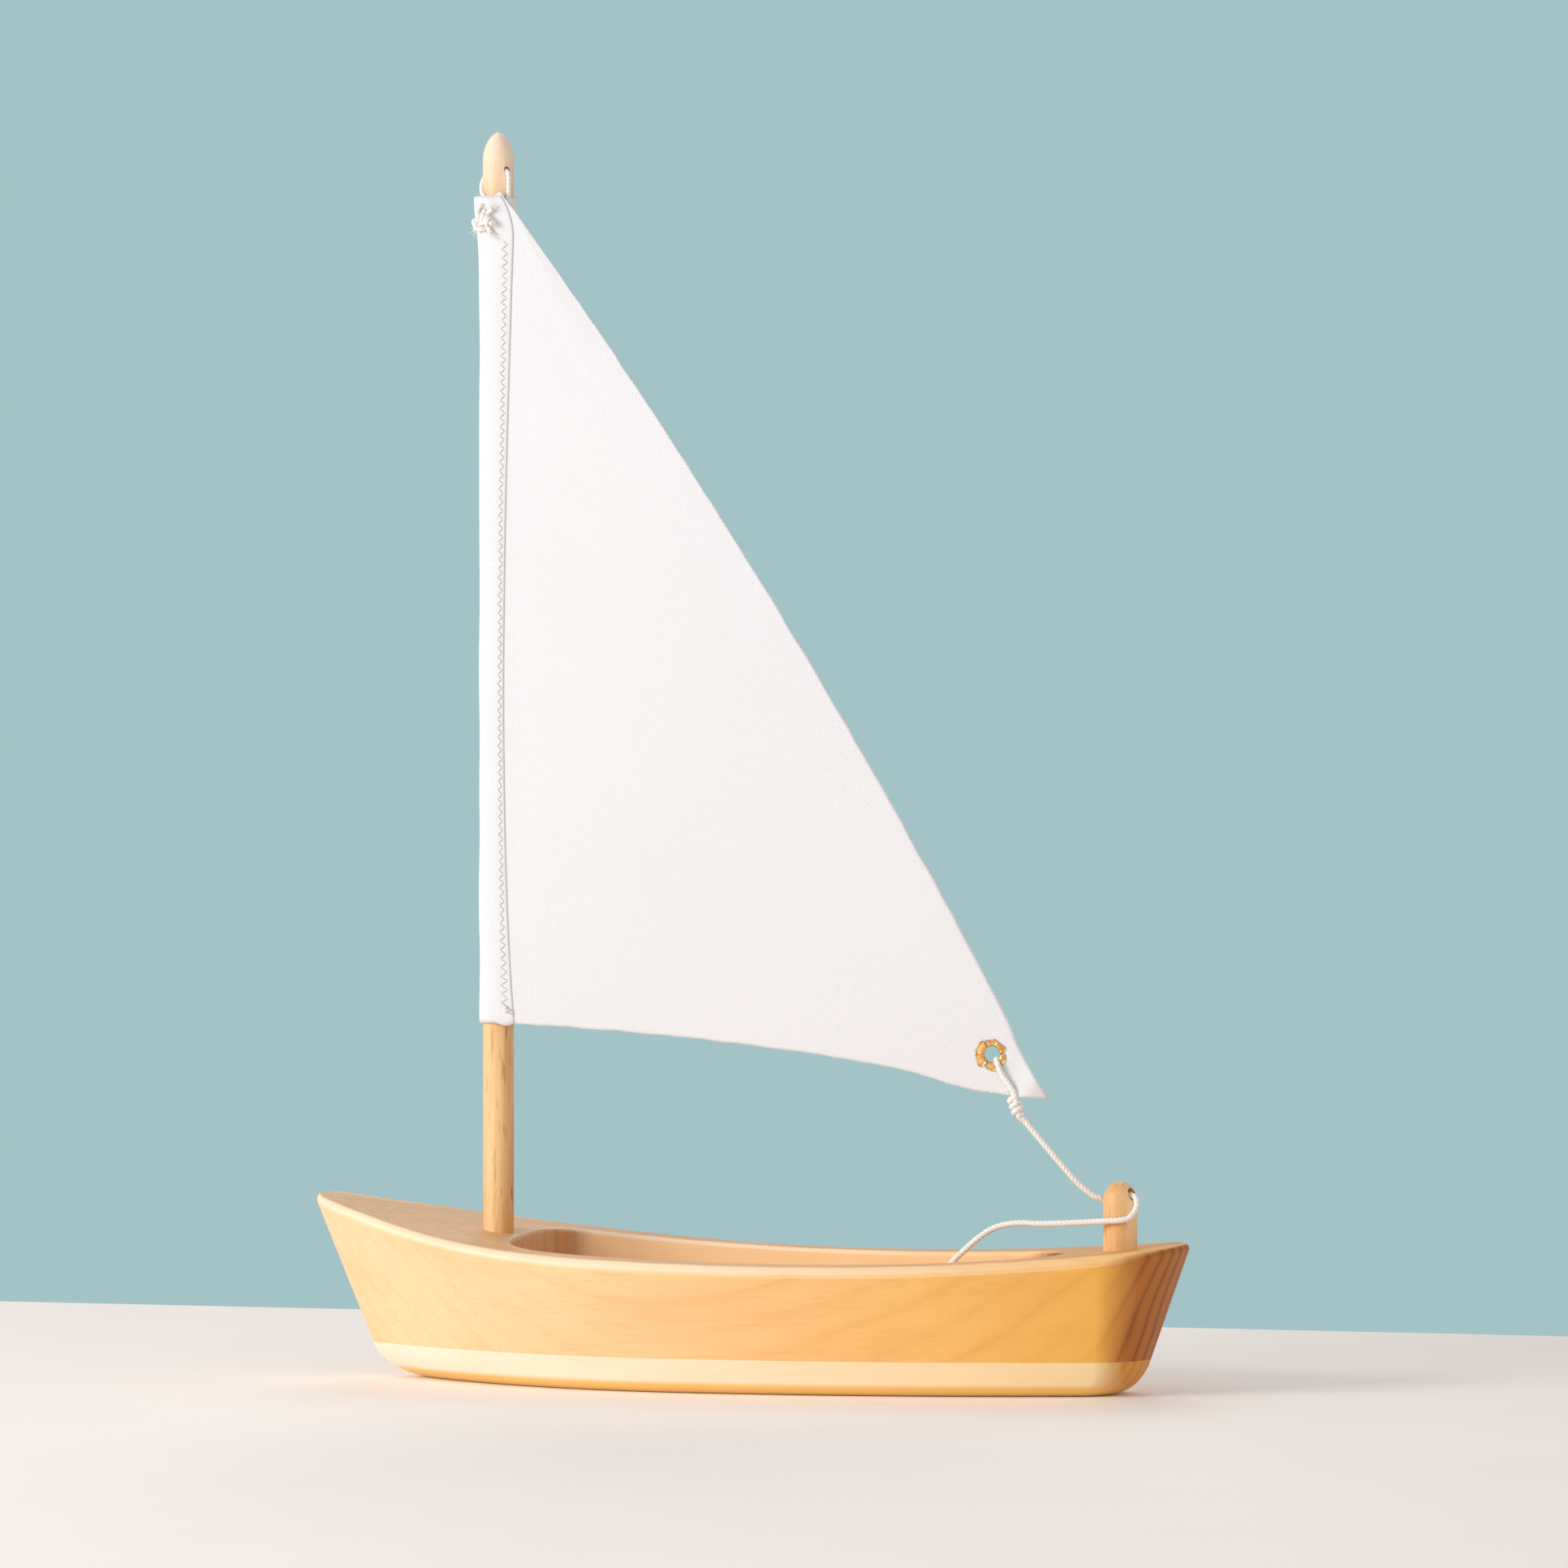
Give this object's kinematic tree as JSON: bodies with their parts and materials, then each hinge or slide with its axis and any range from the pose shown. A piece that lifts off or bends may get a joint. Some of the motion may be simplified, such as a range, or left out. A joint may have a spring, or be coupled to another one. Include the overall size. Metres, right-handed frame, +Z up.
{
  "type": "toy sailing boat",
  "caption": "Flared wooden toy boat with an open cockpit, a dowel mast with a swinging triangular canvas sail, and a cord sheet led through a stern post.",
  "frame": {"origin": "on the flat bottom, on the centre plane, midway between bow tip and stern", "axes": "+X towards the bow, +Y to port, +Z up along the mast"},
  "size_m": [0.289, 0.1008, 0.402],
  "materials": {
    "hull_wood": "oiled satin hardwood",
    "board_wood": "oiled satin hardwood, paler",
    "dowel_wood": "turned hardwood dowel, oiled",
    "canvas": "plain woven white canvas",
    "thread": "white sewing thread",
    "brass": "bright rolled brass",
    "cord": "twisted white cotton"
  },
  "bodies": {
    "hull": {"hull_block": "hull_wood", "bottom_board": "board_wood", "mast": "dowel_wood", "sheet_post": "dowel_wood", "halyard": "cord", "sheet_post_turn": "cord"},
    "sail": {"sail": "canvas", "luff_stitching": "thread", "clew_eyelet": "brass", "halyard_knot": "cord", "sheet_clew_end": "cord"},
    "tail": {"sheet_tail": "cord"}
  },
  "joints": [
    {"name": "sail_swing", "type": "hinge", "parent": "hull", "child": "sail", "pos_m": [0.083, 0, 0.25], "axis": [0, 0, 1], "range_deg": [-30, 30]},
    {"name": "tail_swing", "type": "hinge", "parent": "hull", "child": "tail", "pos_m": [-0.112, 0.0066, 0.0543], "axis": [0, 0, 1], "range_deg": [-30, 15]}
  ]
}
